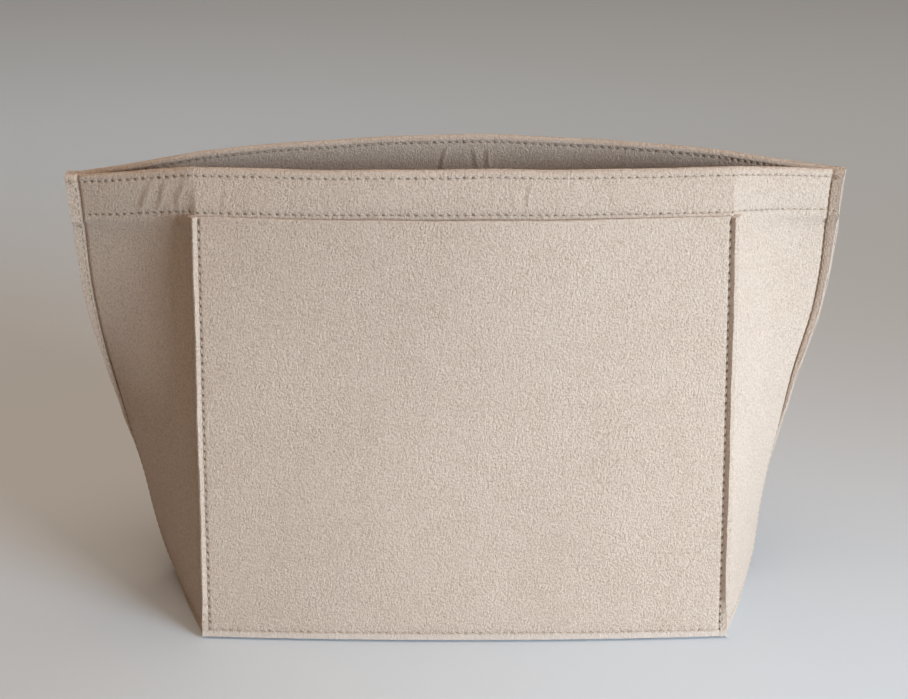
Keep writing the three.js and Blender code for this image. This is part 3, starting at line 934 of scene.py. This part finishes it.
# needle holes across a wall, on its outer face or on the hem inside, from a first column on
def wallHoles(wallName, height, inside=False, first=0):
    step = columns["stitch"]
    picks = list(range(0, columns["flat"] + 1, step)) + list(range(creaseAt, seamAt + 1, step))
    if not inside and not first:
        picks += [seamAt + columns["flange"] // 2, lastAt]
    picks = [k for k in picks if k >= first]
    wall = walls[wallName]
    lines = []
    for depth in ((hemThick, hemThick - 1) if inside else (0.0, 1.0)):
        halves = []
        for side in hands.values():
            points, offsets, along = wallLevel(wall, side, height, False)
            proud = np.where(np.arange(len(points)) > seamAt, lockStitch["proud"], 0)[:, None]
            stood = points + offsets * (depth - proud)
            halves.append(standWall(wall, side, height, stood, points[:, 0], along)[picks])
        lines.append(halves)
    ways = [a - b for a, b in zip(*lines)]
    outward = [way / np.linalg.norm(way, axis=-1, keepdims=True) for way in ways]
    return [settle(spots) for spots in lines[0]], outward


rows = {}
for wallName in walls:
    for rowName, height in (("rim", rimLine), ("hem", hemRow)):
        for face in ("outer", "inner"):
            spots, outward = wallHoles(wallName, height, face == "inner")
            for k, hand in enumerate(hands):
                place = "Inside" if face == "inner" else ""
                name = wallName + rowName.capitalize() + "Stitches" + place + hand
                node = (f"{wallName}_{rowName}_stitching",) if face == "outer" else ()
                rows[wallName, rowName + face, hand] = sewRow(name, spots[k], outward[k], node)
    spots, outward = wallHoles(wallName, cut["footRow"], first=creaseAt + columns["stitch"])
    for k, hand in enumerate(hands):
        name = wallName + hand + "GussetFootStitches"
        node = (f"{wallName}_{hand.lower()}_gusset_base_stitching",)
        rows[wallName, "gusset", hand] = sewRow(name, spots[k], outward[k], node)


# needle holes round a pocket: along its foot and up its sides
def pocketHoles(spec, side):
    rowAt = spec["half"] - spec["sideRow"]
    footX = np.append(footColumns(spec)[::4], rowAt)
    heights = spec["footRow"] + sidePitch * np.arange(sideSteps(spec) // 3 + 1)
    way = np.array([0, walls[spec["wall"]]["facing"] * facesOut(spec), 0.0])

    def spots(x, height):
        stand = spec["far"] + pocketGape(spec, x, height)
        found = besideWall(spec["wall"], spec["middle"] + side * x, height, stand)
        return settle(found), np.tile(way, (len(found), 1))

    foot = spots(footX, np.full(len(footX), spec["footRow"]))
    upright = spots(np.full(len(heights), rowAt), heights)
    return foot, upright


for pocketName, spec in pockets.items():
    (leftFoot, leftSide), (rightFoot, rightSide) = (pocketHoles(spec, side) for side in hands.values())
    foot = [np.concatenate([a[::-1], b[1:]]) for a, b in zip(leftFoot, rightFoot)]
    wallName = spec["wall"]
    if spec["lip"]:
        rows[pocketName, "foot"] = sewRow(wallName + "FootStitches", *foot, (f"{wallName}_base_stitching",))
        for hand, upright in zip(hands, (leftSide, rightSide)):
            node = (f"{wallName}_{hand.lower()}_corner_stitching",)
            rows[pocketName, hand] = sewRow(wallName + hand + "CornerStitches", *upright, node)
    else:
        chain = [np.concatenate([a[:0:-1], b, c[1:]]) for a, b, c in zip(leftSide, foot, rightSide)]
        node = (pocketBodies[pocketName][2] + "_stitching",)
        rows[pocketName, "round"] = sewRow(pocketName + "Stitches", *chain, node)

# side seams: through both flanges, shown on the front and on the back; the rim row ends in a back-tack,
# to and fro across the seam allowance
backTack = {"rises": (-1.3, -0.5, 0.4, 1.2, 0.6), "proud": 0.15, "columns": (lastAt - 1, seamAt + 1)}


def flangeSpot(wall, side, height, column, proud):
    points, offsets, along = wallLevel(wall, side, height, False)
    points = points - offsets * proud
    return standWall(wall, side, height, points, points[:, 0], along)[column]


for hand, side in hands.items():
    for wallName, wall in walls.items():
        proud = lockStitch["proud"]
        heights = np.arange(cut["footRow"], rimLine - 2, sidePitch)
        spots = [flangeSpot(wall, side, height, seamAt + 1, proud) for height in heights]
        way = np.tile([0, wall["facing"], 0.0], (len(spots), 1))
        tack = []
        for k, rise in enumerate(backTack["rises"]):
            column = backTack["columns"][k % 2]
            tack.append(flangeSpot(wall, side, rimLine + rise, column, proud + backTack["proud"]))
        rows[wallName, "tack", hand] = sewRow(wallName + hand + "BackTack", settle(tack), way[: len(tack)])
        name = hand.lower() + "SeamStitches" + ("" if wallName == "front" else "Behind")
        node = (f"{hand.lower()}_side_seam_stitching",) if wallName == "front" else ()
        rows[wallName, "seam", hand] = sewRow(name, settle(spots), way, node)
print("stitching made:", len(rows), "rows")

# Floor and light: a painted table top, matt and even, which is paler and cooler away from the insert, where
# only the warm room light reaches it; the key is a shaded lamp that spares the floor. Sizes in metres.
studio = {
    "floor": "#c9cdd0",
    "floorFar": "#d6e9fb",
    "farFrom": 0.3,
    "farFull": 1.3,
    "floorSize": 16.0,
    "sky": "#ffd9bd",
    "skyStrength": 0.2,
}
lamps = {
    "key": {
        "place": (0.88, -0.79, 0.34),
        "aim": (0.07, -0.03, 0.1),
        "size": (0.62, 0.34),
        "spread": 60.0,
        "watts": 3.42,
        "colour": "#d6ebff",
    },
    "top": {
        "place": (0.1, -0.1, 3.0),
        "aim": (0.0, 0.0, 0.12),
        "size": (2.6, 2.6),
        "spread": 180.0,
        "watts": 50.0,
        "colour": "#fdeedc",
    },
}


def makeFloor():
    s = studio["floorSize"] / 2
    mesh = bpy.data.meshes.new("floor")
    mesh.from_pydata([(-s, -s, 0), (s, -s, 0), (s, s, 0), (-s, s, 0)], [], [(0, 1, 2, 3)])
    floor = bpy.data.objects.new("floor", mesh)
    bpy.context.scene.collection.objects.link(floor)
    material, tree = newMaterial("paintedTableTop")
    place = addNode(tree, "ShaderNodeTexCoord").outputs["Object"]
    away = addNode(tree, "ShaderNodeVectorMath", links={0: place}, operation="LENGTH")
    far = addNode(
        tree,
        "ShaderNodeMapRange",
        {"From Min": studio["farFrom"], "From Max": studio["farFull"]},
        {"Value": away.outputs["Value"]},
        interpolation_type="SMOOTHSTEP",
    )
    paint = addNode(
        tree,
        "ShaderNodeMix",
        {6: linearColour(studio["floor"]), 7: linearColour(studio["floorFar"])},
        {0: far.outputs["Result"]},
        data_type="RGBA",
    )
    shader = addNode(tree, "ShaderNodeBsdfPrincipled", {"Roughness": 0.6}, {"Base Color": paint.outputs[2]})
    addNode(tree, "ShaderNodeOutputMaterial", links={"Surface": shader.outputs["BSDF"]})
    mesh.materials.append(material)


def makeLight():
    world = bpy.data.worlds.new("softRoom")
    world.use_nodes = True
    sky = world.node_tree.nodes["Background"].inputs
    sky["Color"].default_value = linearColour(studio["sky"])
    sky["Strength"].default_value = studio["skyStrength"]
    bpy.context.scene.world = world
    for name, lamp in lamps.items():
        data = bpy.data.lights.new(name + "Light", "AREA")
        data.shape = "RECTANGLE"
        data.size, data.size_y = lamp["size"]
        data.spread = math.radians(lamp["spread"])
        data.energy = lamp["watts"]
        data.color = linearColour(lamp["colour"])[:3]
        light = bpy.data.objects.new(name + "Light", data)
        bpy.context.scene.collection.objects.link(light)
        light.location = lamp["place"]
        aim = Vector(lamp["aim"]) - Vector(lamp["place"])
        light.rotation_euler = aim.to_track_quat("-Z", "Y").to_euler()


makeFloor()
makeLight()
bpy.context.scene.view_settings.view_transform = "Standard"
print("studio lit")


def blendHalf(piece):
    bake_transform(piece)


# each half wall as it was cut, seam to middle and rim fold to foot
for (wallName, hand), piece in wallHalves.items():
    blendHalf(piece)
    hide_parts(wallName + "_panel")
    stitching = [row for key, row in rows.items() if key[0] == wallName and key[2] == hand]
    for row in stitching:
        blendHalf(row)

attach(baseSheet, "base")
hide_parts("base_panel")

# a pocket is sewn to its wall at its sides, and its stitching goes with the wall; cut on the slant of
# the wall, a pocket is a little longer than it stands high
for pocketName, (wallBody, pocketBody, node) in pocketBodies.items():
    spec = pockets[pocketName]
    middle, half = spec["middle"], spec["half"]
    stitching = [row for key, row in rows.items() if key[0] == pocketName]
    for row in stitching:
        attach(row, wallBody)
    for hand, side in hands.items():
        piece = pocketHalves[pocketName, hand]
        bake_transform(piece)
        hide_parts(node)
        behind = hand if middle == 0 else ("Left" if middle < 0 else "Right")
        wall = wallHalves[spec["wall"], behind]
